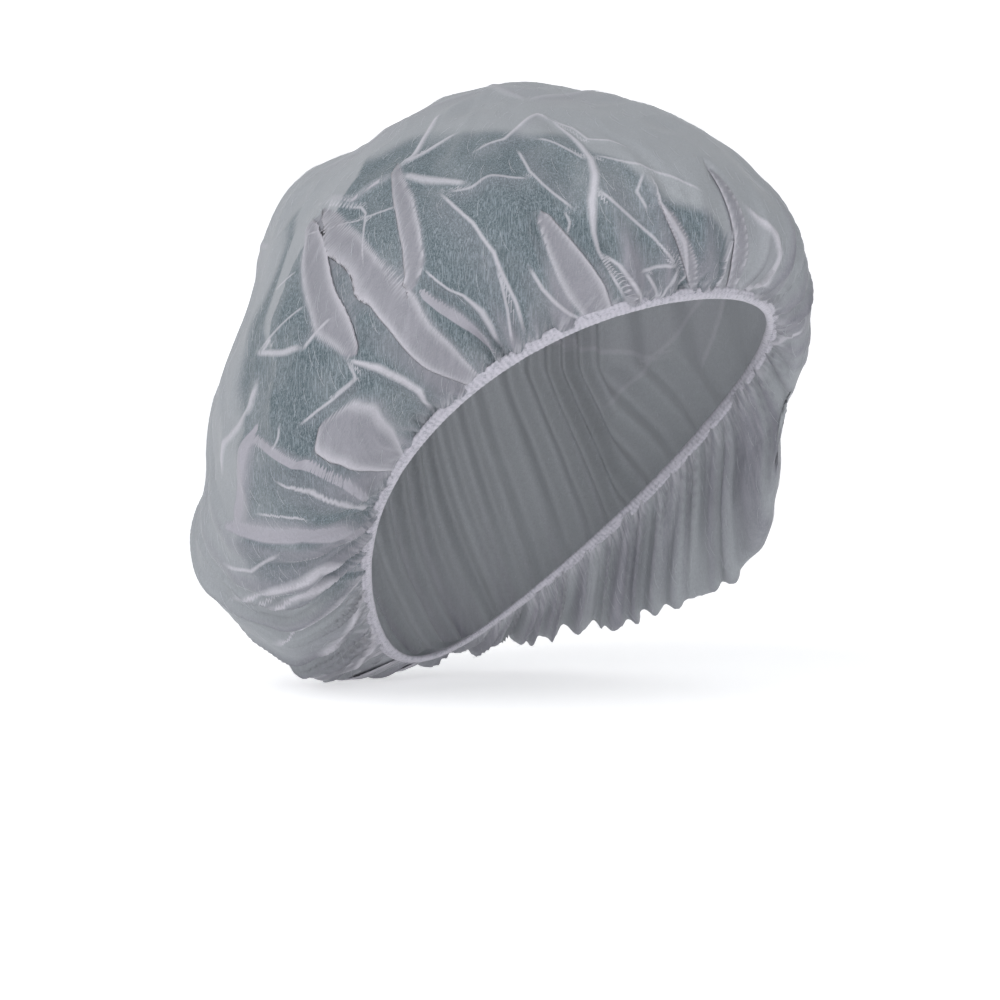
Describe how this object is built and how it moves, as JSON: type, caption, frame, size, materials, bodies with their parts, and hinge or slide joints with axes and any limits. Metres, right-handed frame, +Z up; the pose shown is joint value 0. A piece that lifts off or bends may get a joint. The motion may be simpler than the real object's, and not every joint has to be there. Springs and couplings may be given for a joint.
{
  "type": "disposable hair cover cap",
  "caption": "Bouffant cap of sheer nonwoven cloth gathered into a ruched elastic hem, in its worn form, that covers the hair",
  "frame": {"origin": "centre of the head opening, the middle of the elastic hem's loop", "axes": "+Z up as worn, -Y forehead, +X wearer's left"},
  "size_m": [0.2189, 0.2404, 0.2297],
  "materials": {
    "nonwoven": "sheer spunbond polypropylene, matte, fine fibres, light blue-grey where one layer lies over a dark ground and white where folds lie over each other",
    "hem": "the same cloth in tight ruches, near white with a faint pink cast"
  },
  "bodies": {
    "root": {"crown": "nonwoven", "elastic_hem": "hem"}
  },
  "joints": []
}
